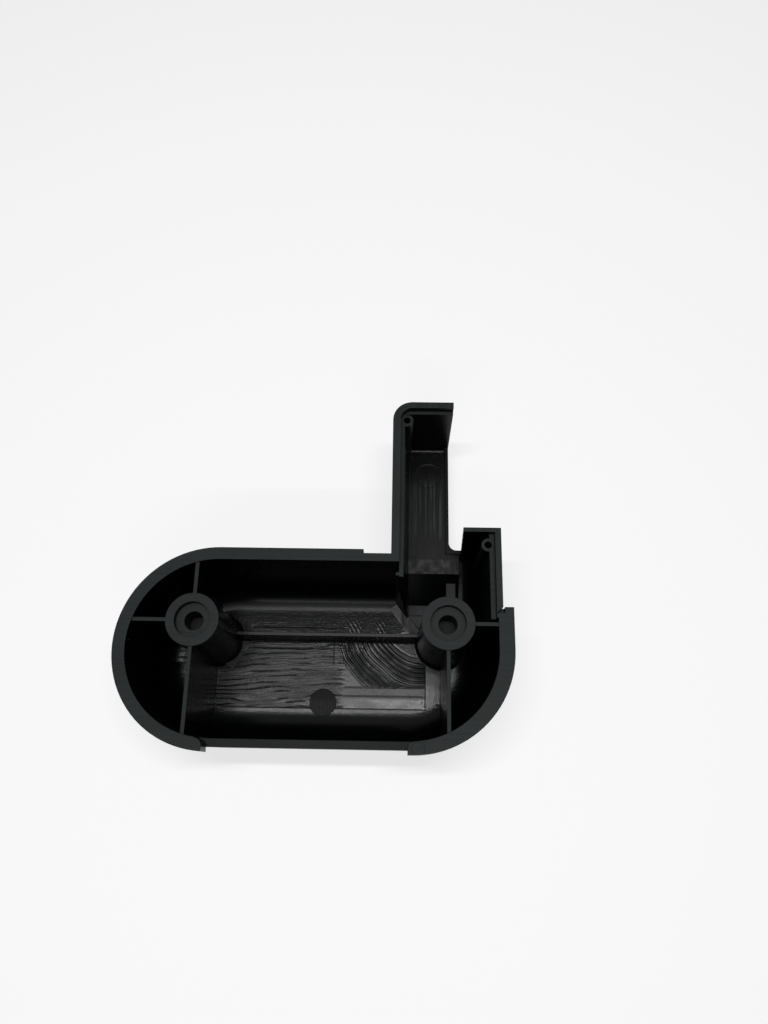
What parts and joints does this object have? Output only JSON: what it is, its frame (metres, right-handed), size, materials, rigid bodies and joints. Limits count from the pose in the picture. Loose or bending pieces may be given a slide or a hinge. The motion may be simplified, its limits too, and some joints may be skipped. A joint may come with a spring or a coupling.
{
  "type": "tail light cover",
  "caption": "Black moulded cover shell, open on top: a round-ended tray with screw bosses on ribs, a channel-shaped arm and a square pocket beside it.",
  "frame": {"origin": "middle of the part's bounding box in plan, on the flat outer floor of the tray that it rests on", "axes": "+X along the tray towards its square-cornered end, +Y towards the end of the arm, +Z out of the open side"},
  "size_m": [0.1338, 0.1236, 0.046],
  "materials": {
    "black_plastic": "satin black moulded plastic, with the mould's milling marks on its floors"
  },
  "bodies": {
    "root": {"cover": "black_plastic"}
  },
  "joints": []
}
